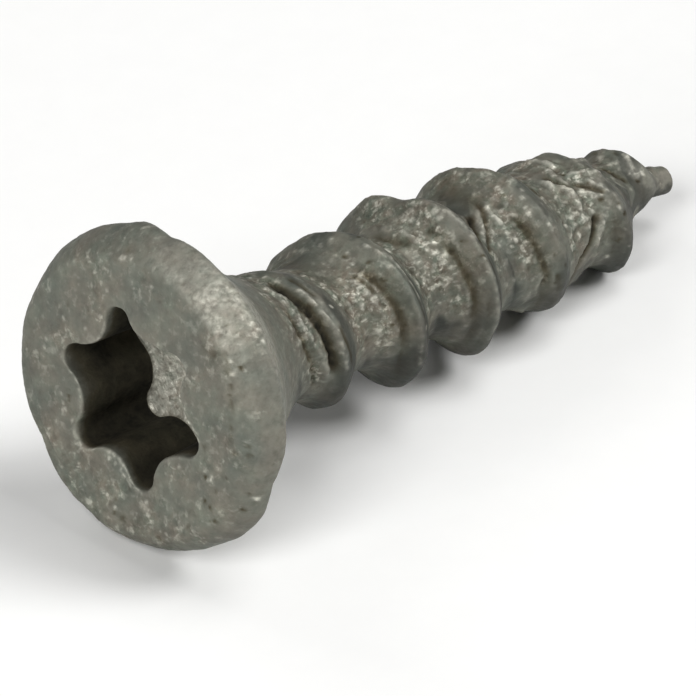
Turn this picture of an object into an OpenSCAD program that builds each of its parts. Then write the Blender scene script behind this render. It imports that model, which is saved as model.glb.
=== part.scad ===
// Countersunk wood screw with a six-lobe recess, a coarse right-hand thread and a pinched-off gimlet point.
// It lies on its side as it comes to rest: rim of the head and two neighbouring thread crests on the floor.
// Millimetres, +Z up, the point towards +X, origin under the middle of the bounding box.

/* [Head] */
// diameter of the head over its rim
head_d = 8.24; // [7.8:0.02:8.8]
// diameter of the flat face, where the rounded rim starts
face_d = 7.18; // [6.9:0.02:7.3]
// distance from the face to the widest place of the rim
rim_z = 0.98; // [0.9:0.02:1.2]
// height of the flared underside, from the rim to the neck
flare_h = 3.88; // [3.8:0.02:4.1]
// radius of the flare in the underside
flare_r = 9.9; // [8.5:0.1:14]
// diameter of the neck at the end of the flare
neck_d = 3.06; // [2.96:0.02:3.2]

/* [Recess] */
// size of the recess across opposite lobes
drive_d = 4.5; // [3.9:0.02:4.6]
// size of the recess across opposite ridges
drive_in_d = 3.27; // [2.9:0.01:3.35]
// depth of the straight recess wall
drive_depth = 2.5; // [1.6:0.05:2.6]
// depth of the shallow cone under the recess wall
drive_cone = 0.35; // [0.2:0.05:0.5]

/* [Thread] */
// largest diameter over the thread crests
thread_d = 4.55; // [4.3:0.01:4.7]
// axial distance from one crest to the next
pitch = 2.56; // [2.5:0.01:2.62]
// diameter of the core between the crests
core_d = 2.96; // [2.8:0.02:3.02]
// half width of a crest as a share of the pitch
crest_w = 0.23; // [0.19:0.005:0.26]
// distance from the face to the first crest at the start of the helix
thread_z = 4.74; // [4.7:0.01:4.8]

/* [Point] */
// whole length from the face to the end of the point
length = 19.35; // [19.3:0.05:20.6]
// diameter of the blunt nub at the end of the point
nub_d = 0.64; // [0.5:0.02:0.8]
// length of the nub
nub_l = 0.8; // [0.6:0.05:0.85]

/* [Hidden] */
$fn = 96;

steel = [0.45, 0.45, 0.42];

// ---- head profile -------------------------------------------------------
head_r = head_d / 2;
face_r = face_d / 2;
neck_r = neck_d / 2;
edge = head_r - face_r;
rim_r = (edge * edge + rim_z * rim_z) / (2 * edge);     // arc from the face to the widest place
neck_z = rim_z + flare_h;                               // end of the flare
// centre of the concave flare arc through (head_r, rim_z) and (neck_r, neck_z)
fl_dr = head_r - neck_r;
fl_c = sqrt(fl_dr * fl_dr + flare_h * flare_h);
fl_h = sqrt(flare_r * flare_r - fl_c * fl_c / 4);
fl_r0 = (head_r + neck_r) / 2 + flare_h / fl_c * fl_h;
fl_z0 = (rim_z + neck_z) / 2 + fl_dr / fl_c * fl_h;
function flare(z) = z >= neck_z ? neck_r : fl_r0 - sqrt(flare_r * flare_r - pow(min(z, neck_z) - fl_z0, 2));

head_end = 3.3;          // the turned head ends here, the threaded body starts inside it
end_r = flare(head_end);

// ---- recess -------------------------------------------------------------
ridge_r = 0.94 * drive_d / 4.5;                         // radius of the ridges between the lobes
rc = drive_in_d / 2 + ridge_r;                          // their centres
// lobe radius that makes lobe and ridge arcs meet in a common tangent
function lobe_gap(r) = let (a = drive_d / 2 - r)
    a * a + rc * rc - 2 * a * rc * cos(30) - pow(r + ridge_r, 2);
function lobe_solve(lo, hi, n) = n == 0 ? (lo + hi) / 2 :
    let (m = (lo + hi) / 2) lobe_gap(m) > 0 ? lobe_solve(m, hi, n - 1) : lobe_solve(lo, m, n - 1);
lobe_r = lobe_solve(0.05, 0.8, 30);
lc = drive_d / 2 - lobe_r;
drive_turn = 40.5;       // how the lobes stand to the floor

// ---- thread -------------------------------------------------------------
n = 30;                  // stations in a turn
last = 155;              // station at which the crest has run out
phase = 146.5;           // angle of the crest at the start of the helix, from the floor side
grow = 0.0079;           // the pitch opens slightly towards the point
tip_z = length - nub_l;  // start of the nub
squeeze = tip_z - 0.82;  // behind this the last turn is drawn together towards the nub
// heights of the crests along the turns, as shares of the largest radius
rise = [[0, 0.9], [1, 0.89], [1.5, 1], [2.2, 0.99], [3, 0.96], [3.45, 0.84],
        [3.6, 0.86], [4.1, 0.765], [4.45, 0.75], [4.6, 0.68], [5, 0.56], [6, 0.3]];
// height of the core along the axis, as shares of the core radius
core_k = [[neck_z, neck_r / (core_d / 2)], [6.8, 1], [9.6, 0.94], [12.4, 1.03],
          [14.9, 1.02], [tip_z - 1.0, 0.49], [tip_z - 0.4, 0.36], [tip_z, nub_d / core_d]];

function helix_z(t) = let (z = thread_z + pitch * (t + grow * t * abs(t)))
    z < squeeze ? z : squeeze + (z - squeeze) * 0.42;
function core(z) = z < neck_z ? flare(z) : core_d / 2 * lookup(z, core_k);
function crest(t) = thread_d / 2 * lookup(t, rise);
function swell(t) = max(0, min(1, (t + 0.15) / 0.4)) * max(0, min(1, (last / n - t) / 0.18));
function body_r(t, x) = let (z = helix_z(t + x), c = core(z), h = crest(t) - min(c, crest(t)))
    max(c, min(c, crest(t)) + h * swell(t) * exp(-pow(abs(x) / crest_w, 2)));

prof = [-0.5, -0.33, -0.21, -0.1, 0, 0.1, 0.21, 0.33];
m = len(prof);
N = last + n;
rows = 4;                // rows of points that lead from a plain ring to the helix

function at(r, a, z) = [r * cos(a), r * sin(a), z];
function ang(s) = phase + 360 * s / n;
function hz(s) = helix_z(s / n - 0.5);
// helical strip: station s, profile place j
strip = [for (s = [0:N]) for (j = [0:(s <= last ? m - 1 : 0)])
    let (x = prof[j]) at(body_r(s / n, x), ang(s), helix_z(s / n + x))];
function P(s, j) = s <= last ? s * m + j : (last + 1) * m + (s - (last) - 1);
// rings and rows before the helix: row 0 lies inside the head, row 1 just outside its end
c0 = len(strip);
lead = [for (i = [0:rows]) for (k = [0:n - 1])
    let (z1 = head_end + 0.03, f = max(0, i - 1) / rows,
         z = i == 0 ? head_end - 0.4 : z1 + (hz(k) - z1) * f)
    at(i == 0 ? end_r - 0.03 : core(z) - (i == 1 ? 0.012 : 0), ang(k), z)];
function A(i, k) = c0 + i * n + (k % n);
// rows and rings after the helix, the nub and its end
c1 = c0 + len(lead);
nub_r = nub_d / 2;
nub_off = [-0.03, -0.12, 0];   // the nub stands slightly off the axis
tail = [for (i = [1:rows + 2]) for (k = [0:n - 1])
    let (h = hz(last + k), z = i <= rows ? h + (tip_z - h) * i / rows : i == rows + 1 ? length - 0.16 : length,
         r = i < rows ? core(z) : i <= rows + 1 ? nub_r : nub_r * 0.7)
    at(r, ang(last + k), z) + nub_off * min(1, max(0, (z - squeeze) / 1.2))];
function B(i, k) = c1 + (i - 1) * n + (k % n);
c2 = c1 + len(tail);
pts = concat(strip, lead, tail, [[0, 0, head_end - 0.4], [nub_off[0], nub_off[1], length]]);

// stitch two columns of points that both climb the axis, left a and right b
function stitch(a, b, i = 0, j = 0) =
    i == len(a) - 1 && j == len(b) - 1 ? [] :
    j == len(b) - 1 || (i < len(a) - 1 && pts[a[i + 1]][2] <= pts[b[j + 1]][2]) ?
        concat([[a[i], a[i + 1], b[j]]], stitch(a, b, i + 1, j)) :
        concat([[a[i], b[j + 1], b[j]]], stitch(a, b, i, j + 1));

function lead_col(k) = [for (i = [0:rows]) A(i, k)];
function tail_col(k) = [for (i = [1:rows + 2]) B(i, k)];
first_col = concat(lead_col(0), [for (j = [0:m - 1]) P(0, j)], [P(n, 0)]);
last_col = concat([for (j = [0:m - 1]) P(last, j)], [P(N, 0)], tail_col(0));

strip_faces = [for (s = [0:last - 1]) for (j = [0:m - 1])
    let (a = P(s, j), b = P(s + 1, j),
         c = j < m - 1 ? P(s + 1, j + 1) : P(s + 1 + n, 0),
         d = j < m - 1 ? P(s, j + 1) : P(s + n, 0))
    for (f = [[a, c, b], [a, d, c]]) f];
lead_faces = [for (k = [0:n - 1])
    for (f = stitch(concat(lead_col(k), [P(k, 0)]),
                    k == n - 1 ? first_col : concat(lead_col(k + 1), [P(k + 1, 0)]))) f];
tail_faces = [for (k = [0:n - 1])
    for (f = stitch(k == 0 ? last_col : concat([P(last + k, 0)], tail_col(k)),
                    concat([P(last + k + 1, 0)], tail_col(k + 1)))) f];
caps = [for (k = [0:n - 1]) for (f = [[c2, A(0, k), A(0, k + 1)], [c2 + 1, B(rows + 2, k + 1), B(rows + 2, k)]]) f];
faces = concat(strip_faces, lead_faces, tail_faces, caps);

// ---- how it lies --------------------------------------------------------
// The rear corner of the rim and the thread touch the floor; the floor side is local +X.
lie = min([for (p = pts) if (p[2] > neck_z) atan((head_r - p[0]) / (p[2] - rim_z))]);
function down(r, z) = r * cos(lie) + z * sin(lie);
drop = max(down(rim_arc_r(90 - lie), rim_arc_z(90 - lie)), max([for (p = pts) down(p[0], p[2])]));
function rim_arc_r(a) = head_r - rim_r + rim_r * sin(a);
function rim_arc_z(a) = rim_z + rim_r * cos(a);
back = -face_r * sin(lie);                                  // the upper edge of the face reaches furthest back
front = max([for (p = pts) p[2] * cos(lie) - p[0] * sin(lie)]);

module recess() {
    translate([0, 0, -1])
        linear_extrude(height = 1 + drive_depth) union() {
            difference() {
                polygon([for (k = [0:5]) for (s = [-1, 1])
                    let (a = 60 * k, l = [lc * cos(a), lc * sin(a)],
                         q = [rc * cos(a + 30 * s), rc * sin(a + 30 * s)])
                    l + (q - l) * lobe_r / (lobe_r + ridge_r)]);
                for (k = [0:5]) rotate(60 * k + 30) translate([rc, 0]) circle(r = ridge_r);
            }
            for (k = [0:5]) rotate(60 * k) translate([lc, 0]) circle(r = lobe_r);
        }
    translate([0, 0, drive_depth - 0.01])
        cylinder(h = drive_cone + 0.01, r1 = drive_in_d / 2 - 0.1, r2 = 0.15);
}

module head() {
    rotate_extrude()
        difference() {
            union() {
                polygon([[0, 0], [face_r, 0], [head_r, rim_z], [neck_r, neck_z], [0, neck_z]]);
                intersection() {
                    translate([head_r - rim_r, rim_z]) circle(r = rim_r);
                    translate([0, 0]) square([head_r + 1, rim_z]);
                }
            }
            translate([fl_r0, fl_z0]) circle(r = flare_r);
            translate([0, head_end]) square([head_r, neck_z]);
        }
}

module screw() {
    color(steel)
        translate([-(back + front) / 2, 0, drop])
            rotate([0, 90 + lie, 0])
                difference() {
                    union() {
                        head();
                        polyhedron(points = pts, faces = faces, convexity = 10);
                    }
                    rotate(drive_turn) recess();
                }
}

screw();
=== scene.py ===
import math

import bpy
import numpy as np
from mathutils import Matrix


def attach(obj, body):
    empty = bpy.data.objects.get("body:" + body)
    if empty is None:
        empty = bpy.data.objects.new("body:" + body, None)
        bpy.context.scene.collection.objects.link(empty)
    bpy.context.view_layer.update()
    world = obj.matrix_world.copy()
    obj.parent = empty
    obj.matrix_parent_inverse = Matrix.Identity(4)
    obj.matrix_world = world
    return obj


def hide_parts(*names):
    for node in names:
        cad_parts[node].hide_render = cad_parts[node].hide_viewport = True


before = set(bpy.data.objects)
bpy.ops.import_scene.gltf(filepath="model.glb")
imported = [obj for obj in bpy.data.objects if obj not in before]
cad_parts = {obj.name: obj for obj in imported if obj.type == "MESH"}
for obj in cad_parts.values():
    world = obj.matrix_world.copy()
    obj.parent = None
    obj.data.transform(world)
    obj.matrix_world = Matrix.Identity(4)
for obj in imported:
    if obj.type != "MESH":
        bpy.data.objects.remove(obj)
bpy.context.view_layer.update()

# ---------------------------------------------------------------- frame of the screw
# The screw is built in its own millimetres: face of the head at z = 0, point at +z, floor side at +x.
# place() then lays it down as the CAD does.
LIE = math.radians(9.15969)
TX, DROP = -9.28609, 4.2384

HEAD_R, FACE_R, RIM_Z, RIM_R = 4.12, 3.59, 0.98, 1.17104
NECK_R, NECK_Z = 1.53, 4.86
FL_R, FL_R0, FL_Z0 = 9.9, 10.8272, 8.26169
LENGTH, NUB_R, NUB_L = 19.28, 0.32, 0.73
TIP_Z = LENGTH - NUB_L
SQUEEZE = TIP_Z - 0.82
THREAD_R, CORE_R, PITCH, GROW, THREAD_Z, PHASE = 2.275, 1.48, 2.56, 0.0079, 4.74, 146.5
LAST = 155.0 / 30.0
RECESS = 2.5


def place(p):
    s, c = math.sin(LIE), math.cos(LIE)
    x, y, z = p[..., 0], p[..., 1], p[..., 2]
    return np.stack([-x * s + z * c + TX, y, -x * c - z * s + DROP], -1) / 1000.0


# ---------------------------------------------------------------- seeded noise
def lattice(ix, iy, iz, seed):
    h = (ix.astype(np.uint32) * np.uint32(374761393) + iy.astype(np.uint32) * np.uint32(668265263)
         + iz.astype(np.uint32) * np.uint32(2246822519) + np.uint32(seed * 3266489917 % 4294967296))
    h = (h ^ (h >> np.uint32(13))) * np.uint32(1274126177)
    h = (h ^ (h >> np.uint32(16))) * np.uint32(2654435761)
    return h ^ (h >> np.uint32(15))


def noise(p, size, seed):
    """Gradient noise of about -1 to 1 with lumps of the given size in mm."""
    q = np.asarray(p, float) / size + 1000.0
    i = np.floor(q).astype(np.int64)
    f = q - i
    u = f * f * f * (f * (f * 6 - 15) + 10)
    total = np.zeros(q.shape[:-1])
    for dx in (0, 1):
        for dy in (0, 1):
            for dz in (0, 1):
                h = lattice(i[..., 0] + dx, i[..., 1] + dy, i[..., 2] + dz, seed)
                a = (h & np.uint32(1023)) / 1023.0 * 2 * math.pi
                b = ((h >> np.uint32(10)) & np.uint32(1023)) / 1023.0 * 2 - 1
                s = np.sqrt(1 - b * b)
                g = (s * np.cos(a) * (f[..., 0] - dx) + s * np.sin(a) * (f[..., 1] - dy) + b * (f[..., 2] - dz))
                w = ((u[..., 0] if dx else 1 - u[..., 0]) * (u[..., 1] if dy else 1 - u[..., 1])
                     * (u[..., 2] if dz else 1 - u[..., 2]))
                total += g * w
    return total * 1.5


def layers(p, size, seed, n=3, fall=0.5):
    return sum(noise(p, size * 0.5 ** k, seed + k) * fall ** k for k in range(n))


def smooth(x, lo, hi):
    t = np.clip((x - lo) / (hi - lo), 0, 1)
    return t * t * (3 - 2 * t)


def bump_at(x, centre, width):
    return np.exp(-((x - centre) / width) ** 2)


def turn_gap(a, b):
    """Signed angle from b to a in degrees, -180 to 180."""
    return (a - b + 180.0) % 360.0 - 180.0


# ---------------------------------------------------------------- thread
def flare(z):
    z = np.minimum(z, NECK_Z)
    return FL_R0 - np.sqrt(FL_R * FL_R - (z - FL_Z0) ** 2)


def helix(t):
    z = THREAD_Z + PITCH * (t + GROW * t * np.abs(t))
    return np.where(z < SQUEEZE, z, SQUEEZE + (z - SQUEEZE) * 0.42)


def core(z):
    k = np.interp(z, [NECK_Z, 6.8, 9.6, 12.4, 14.9, TIP_Z - 1.0, TIP_Z - 0.4, TIP_Z],
                  [NECK_R / CORE_R, 1.0, 0.94, 1.03, 1.02, 0.49, 0.36, NUB_R / CORE_R])
    return np.where(z < NECK_Z, flare(z), CORE_R * k)


def crest(t):
    return THREAD_R * np.interp(t, [0, 1, 1.5, 2.2, 3, 3.45, 3.6, 4.1, 4.45, 4.6, 5, 6],
                                [.90, .89, 1, .99, .96, .84, .86, .765, .75, .68, .56, .30])


FLANK_X = [-.50, -.40, -.30, -.20, -.12, -.05, 0, .05, .12, .20, .30, .40, .50]
FLANK_H = [.00, .09, .23, .46, .74, .94, 1, .94, .74, .48, .21, .04, .00]


def flank(x):
    xs = np.linspace(-0.6, 0.6, 601)
    ys = np.interp(xs, FLANK_X, FLANK_H)
    k = np.exp(-(np.arange(-12, 13) / 5.0) ** 2)
    ys = np.convolve(np.pad(ys, 12, mode="edge"), k / k.sum(), "valid")
    return np.interp(x, xs, ys / ys.max())


def thread(z, phi):
    """Radius of the threaded body, with the turn count and the axial distance to the nearest crest."""
    frac = ((phi - PHASE) / 360.0)
    best, turn, gap = core(z), np.zeros_like(z), np.full_like(z, 9.0)
    for n in range(0, 7):
        t = frac + n
        c = core(z)
        zc = helix(t)
        lo, hi = helix(t - 0.5), helix(t + 0.5)
        x = np.where(z < zc, -0.5 * (zc - z) / (zc - lo), 0.5 * (z - zc) / (hi - zc))
        top = crest(t)
        grown = np.clip((t + 0.15) / 0.4, 0, 1) * np.clip((LAST - t) / 0.18, 0, 1)
        h = (top - np.minimum(c, top)) * grown * flank(x) * (np.abs(x) < 0.6)
        r = np.maximum(c, np.minimum(c, top) + h)
        better = r > best + 1e-9
        best = np.where(better, r, best)
        near = np.abs(z - zc) < np.abs(gap)
        turn = np.where(near, t, turn)
        gap = np.where(near, z - zc, gap)
    return best, turn, gap


# Marks on the thread: a line through (angle, z) points, half width and height in mm (negative is a groove), and tone:
# 0 to 1 is dirt and painted shade in the grooves, brown to black; below 0 is a painted highlight on bright metal.
# Angles may pass 360.
MARKS = [
    # first turn: the deep groove under the crest, the rolled bead before it and the shallow groove on its head side
    ([(172, 4.50), (192, 4.60), (208, 4.76), (222, 4.90), (238, 5.01), (257, 5.17), (270, 5.30), (283, 5.42)], 0.090, -0.145, 0.88),
    ([(180, 4.22), (194, 4.29), (216, 4.44), (230, 4.58), (243, 4.70), (258, 4.89), (273, 5.12), (292, 5.36)], 0.10, 0.06, -0.15),
    ([(205, 4.16), (225, 4.26), (241, 4.38), (252, 4.50), (263, 4.67), (278, 4.83), (300, 5.02)], 0.075, -0.05, 0.5),
    ([(192, 4.80), (206, 4.95), (222, 5.08), (236, 5.22), (249, 5.33), (262, 5.47), (280, 5.66)], 0.06, 0.04, -0.28),
    ([(192, 5.03), (202, 5.10), (212, 5.17)], 0.05, -0.04, 0.5),
    ([(238, 5.40), (251, 5.55), (263, 5.72), (275, 5.84)], 0.045, -0.05, 0.6),
    ([(148, 6.36), (170, 6.28), (192, 6.24)], 0.38, 0.0, 0.15),
    # second turn
    ([(196, 7.05), (209, 7.22), (219, 7.34), (229, 7.46), (239, 7.56), (248, 7.65), (258, 7.71), (272, 7.80),
      (283, 7.88), (300, 8.00), (325, 8.18)], 0.072, -0.065, 0.54),
    ([(208, 6.98), (216, 7.10), (226, 7.20)], 0.05, -0.035, 0.45),
    ([(214, 7.42), (226, 7.54), (240, 7.68), (256, 7.80), (274, 7.90)], 0.16, 0.0, 0.16),
    ([(158, 8.98), (176, 9.03), (188, 9.20), (200, 9.42)], 0.09, -0.035, 0.42),
    ([(160, 9.20), (172, 9.30), (186, 9.44), (202, 9.64)], 0.13, 0.04, -0.1),
    ([(196, 7.62), (204, 7.78), (213, 7.94), (222, 8.04), (232, 8.16), (243, 8.28), (256, 8.38)], 0.055, 0.035, -0.35),
    ([(206, 7.98), (216, 8.10), (226, 8.20), (236, 8.30)], 0.035, -0.02, 0.5),
    ([(222, 8.02), (240, 8.14), (262, 8.30), (284, 8.44), (304, 8.58)], 0.045, -0.025, 0.25),
    ([(236, 7.90), (258, 8.02), (280, 8.18), (302, 8.34)], 0.05, 0.025, -0.14),
    # third turn
    ([(203, 9.90), (216, 10.00), (228, 10.08), (239, 10.16), (250, 10.25), (260, 10.33), (272, 10.41),
      (286, 10.52), (305, 10.66), (330, 10.84)], 0.070, -0.065, 0.54),
    ([(212, 10.06), (228, 10.16), (246, 10.30), (266, 10.44), (290, 10.62)], 0.16, 0.0, 0.16),
    ([(198, 10.36), (210, 10.52), (222, 10.60)], 0.13, 0.05, -0.25),
    ([(212, 10.66), (228, 10.74), (246, 10.84), (266, 10.98), (290, 11.12), (312, 11.26)], 0.045, -0.028, 0.3),
    ([(224, 10.52), (242, 10.62), (264, 10.76), (288, 10.92), (310, 11.06)], 0.055, 0.03, -0.14),
    ([(258, 10.56), (276, 10.66), (296, 10.80), (316, 10.94)], 0.045, -0.025, 0.25),
    ([(152, 11.96), (166, 11.97), (180, 12.00)], 0.26, 0.0, 0.30),
    ([(188, 11.62), (196, 11.58), (211, 11.33), (220, 11.05), (226, 10.80)], 0.075, -0.085, 0.8),
    ([(178, 12.12), (190, 12.05), (202, 11.92), (215, 11.76), (228, 11.50), (238, 11.25)], 0.06, -0.055, 0.55),
    ([(194, 11.86), (208, 11.70), (220, 11.43)], 0.09, 0.07, -0.35),
    ([(196, 12.11), (204, 12.13), (213, 12.17)], 0.10, 0.05, -0.45),
    # fourth turn
    ([(208, 12.50), (218, 12.58), (230, 12.70), (241, 12.79), (253, 12.90), (261, 13.01), (270, 13.08),
      (280, 13.16), (300, 13.30), (325, 13.50)], 0.085, -0.055, 0.54),
    ([(214, 12.66), (230, 12.80), (246, 12.94), (262, 13.08)], 0.15, 0.0, 0.20),
    ([(168, 13.98), (184, 13.80), (199, 13.63), (210, 13.72)], 0.07, -0.04, 0.6),
    ([(268, 12.98), (278, 12.92), (288, 12.82), (308, 12.94)], 0.09, 0.03, -0.2),
    ([(276, 13.10), (290, 13.12), (306, 13.02)], 0.09, -0.03, 0.4),
    ([(271, 13.36), (284, 13.52)], 0.06, -0.03, 0.5),
    # last turn: the metal is pressed across itself, so ridges and folds cross
    ([(184, 14.38), (196, 14.48), (204, 14.72), (213, 14.86), (222, 14.93), (232, 14.86)], 0.10, 0.09, -0.55),
    ([(186, 14.62), (200, 14.72), (208, 14.92)], 0.08, -0.05, 0.4),
    ([(236, 15.42), (244, 15.30), (252, 15.20), (265, 15.01), (277, 14.72), (290, 14.46), (300, 14.30)], 0.080, -0.105, 0.75),
    ([(232, 15.62), (246, 15.50), (258, 15.38), (272, 15.20)], 0.10, 0.05, -0.25),
    ([(196, 15.26), (202, 15.62), (206, 16.00)], 0.06, 0.055, -0.4),
    ([(207, 14.84), (213, 15.09), (218, 15.33), (223, 15.54), (228, 15.80)], 0.048, 0.045, -0.50),
    ([(203, 15.42), (209, 15.54), (214, 15.64), (220, 15.74), (226, 15.86)], 0.048, 0.040, -0.46),
    ([(194, 15.06), (196, 15.24), (198, 15.40), (201, 15.66)], 0.045, 0.040, -0.45),
    ([(205, 15.10), (213, 15.40), (222, 15.70)], 0.05, -0.045, 0.6),
    ([(228, 15.10), (238, 15.34), (244, 15.50)], 0.07, 0.05, -0.35),
    ([(154, 14.96), (168, 15.08), (178, 15.10)], 0.08, 0.06, -0.5),
    ([(252, 15.86), (268, 15.90), (284, 15.98)], 0.13, -0.05, 0.22),
    ([(172, 17.20), (194, 17.26), (206, 17.46)], 0.09, -0.05, 0.6),
    ([(170, 17.90), (186, 17.94), (198, 17.94), (208, 18.12)], 0.08, 0.035, -0.3),
    ([(318, 13.10), (332, 13.38)], 0.13, 0.075, -0.1),
]

# Single grains and pits on rim, flare and thread: angle, z, radius in mm, tone (above 0 a painted glint on a bright
# grain, below 0 dark pit).
SPOTS = [
    (165, 0.14, .05, 0.35), (266, 0.17, .05, -0.4), (195, 0.17, .06, 0.4), (253, 0.23, .05, -0.2),
    (220, 0.34, .05, -0.25), (221, 0.38, .05, 0.4), (228, 0.39, .05, 0.6), (286, 0.39, .05, -0.7), (294, 0.39, .06, -0.8),
    (288, 0.50, .05, 0.6), (242, 0.53, .04, 0.3), (207, 0.57, .05, 0.7), (288, 0.57, .06, 1), (290, 0.60, .06, -0.3),
    (212, 0.60, .05, 0.7), (209, 0.62, .06, 1), (226, 0.64, .06, 1), (215, 0.66, .15, 0.45), (220, 0.67, .12, 0.5),
    (176, 0.68, .05, 0.5), (227, 0.77, .05, 0.7), (207, 0.78, .04, 0.6), (231, 0.83, .04, 0.6), (273, 0.83, .05, 0.4),
    (223, 0.84, .06, 1), (208, 0.88, .06, 0.8), (202, 0.88, .06, 0.5), (230, 0.92, .06, 0.8), (226, 0.96, .06, 0.8),
    (216, 0.98, .05, 0.9), (225, 2.31, .05, 0.7), (210, 2.48, .05, 0.8), (212, 3.92, .05, 0.6), (228, 4.05, .05, 0.5),
    (201, 4.44, .05, 0.8), (207, 4.49, .05, 1), (221, 4.60, .05, 0.9), (232, 4.61, .05, 0.7), (248, 4.77, .04, 0.5),
    (204, 4.93, .05, 0.8), (219, 5.06, .05, 0.7), (242, 5.36, .04, 0.5), (259, 5.39, .04, 0.5), (225, 5.50, .05, 0.9),
    (225, 6.17, .05, 0.9), (212, 6.26, .04, 0.4), (202, 6.65, .05, 0.6), (212, 6.67, .04, 0.5), (241, 6.69, .04, 0.6),
    (185, 6.70, .04, 0.6), (180, 6.71, .04, 0.6), (221, 6.74, .04, 0.7), (212, 7.03, .06, 0.8), (225, 7.03, .05, 1),
    (239, 7.05, .04, 0.5), (165, 7.05, .05, 0.6), (197, 7.12, .05, 0.5), (188, 7.13, .05, -0.7), (187, 7.20, .05, 0.6),
    (231, 7.21, .05, 0.8), (171, 7.23, .07, 0.5), (250, 7.31, .05, 0.7), (205, 7.41, .06, -0.7), (222, 7.45, .08, -0.6),
    (258, 7.50, .06, -0.8), (195, 7.60, .06, 0.8), (216, 7.71, .05, 0.8), (184, 7.73, .05, -0.7), (210, 7.99, .06, 0.9),
    (218, 8.05, .05, 0.6), (239, 8.22, .04, 0.5), (264, 8.32, .05, 0.6), (191, 8.73, .07, 0.9), (237, 9.14, .04, 0.7),
    (216, 9.29, .05, 0.6), (229, 9.48, .05, 0.6), (262, 9.58, .04, 0.5), (209, 9.61, .06, 0.7), (163, 9.63, .04, 0.5),
    (214, 9.68, .05, 0.7), (174, 9.70, .05, 0.6), (216, 9.72, .06, 1), (182, 9.74, .06, 0.9), (226, 9.80, .07, 1),
    (208, 9.82, .05, 1), (241, 9.85, .05, 0.7), (200, 9.87, .06, -0.5), (206, 9.91, .06, -0.5), (218, 9.93, .04, 0.6),
    (233, 9.94, .05, 0.9), (245, 9.96, .04, 0.6), (233, 10.02, .04, 0.6), (222, 10.05, .06, -0.8), (197, 10.12, .06, 0.5),
    (192, 10.13, .06, 0.6), (245, 10.18, .06, -0.6), (219, 10.24, .06, -0.6), (290, 10.39, .04, 0.4),
    (233, 10.56, .06, -0.7), (216, 10.58, .06, 0.6), (244, 10.58, .04, 0.6), (237, 10.59, .05, -0.6),
    (211, 10.64, .06, 0.6), (249, 10.79, .04, 0.4), (215, 11.51, .06, 0.9), (207, 11.68, .05, 0.5),
    (230, 11.89, .05, 0.7), (196, 12.12, .07, 1), (204, 12.13, .05, 0.8), (211, 12.16, .07, 1), (268, 12.18, .04, 0.4),
    (236, 12.20, .04, 0.6), (218, 12.21, .05, 0.7), (179, 12.22, .06, 0.6), (223, 12.23, .06, 0.9),
    (154, 12.28, .05, 0.5), (232, 12.38, .05, 0.8), (192, 12.40, .05, 0.5), (159, 12.44, .06, 0.5),
    (252, 12.46, .05, 0.6), (164, 12.51, .05, 0.4), (196, 12.61, .05, -0.6), (174, 12.61, .05, 0.5),
    (229, 12.76, .06, -0.5), (213, 12.84, .05, 0.5), (217, 12.87, .06, 0.8), (206, 12.90, .05, 0.6),
    (227, 12.90, .05, 0.6), (262, 12.91, .05, 0.5), (272, 13.03, .05, 0.5), (201, 13.04, .05, 0.5),
    (272, 13.12, .05, -0.6), (231, 13.22, .05, 0.7), (253, 13.24, .05, -0.4), (235, 13.26, .04, 0.6),
    (277, 13.34, .06, -0.7), (215, 13.35, .04, 0.5), (264, 13.57, .05, -0.5), (238, 14.17, .05, 0.8),
    (239, 14.54, .06, 0.6), (189, 14.70, .05, 0.4), (207, 14.73, .05, 0.7), (167, 14.76, .04, 0.4), (213, 14.80, .07, 1),
    (236, 14.87, .05, 0.7), (222, 14.89, .05, 0.8), (228, 14.90, .05, 0.8), (200, 14.94, .05, 0.6),
    (239, 14.99, .08, 0.9), (192, 15.03, .06, -0.8), (246, 15.03, .05, 0.8), (179, 15.07, .06, 1),
    (217, 15.07, .05, -0.6), (172, 15.09, .04, 0.6), (263, 15.34, .05, 0.8), (221, 15.40, .05, 0.7),
    (210, 15.47, .06, -0.7), (224, 15.50, .05, 0.8), (201, 15.53, .05, 0.6), (248, 15.53, .05, 0.6),
    (243, 15.56, .06, 0.8), (228, 15.58, .06, -0.7), (208, 15.64, .04, 0.5), (203, 15.65, .05, 0.6),
    (237, 15.70, .04, 0.4), (217, 15.74, .06, 0.5), (291, 15.88, .07, 0.5), (270, 15.96, .07, -0.6),
    (237, 15.98, .05, -0.5), (240, 15.98, .05, 0.6), (203, 15.99, .06, 1), (260, 16.09, .04, 0.3),
    (246, 16.12, .06, -0.9), (278, 16.29, .04, 0.3), (134, 17.67, .07, -0.4), (161, 17.83, .06, -0.5),
    (195, 17.83, .05, 0.5), (175, 17.94, .07, 1), (217, 17.96, .06, -0.8), (193, 18.00, .05, 0.5), (174, 18.02, .05, 0.7),
    (204, 18.14, .06, 1),
]

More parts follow.
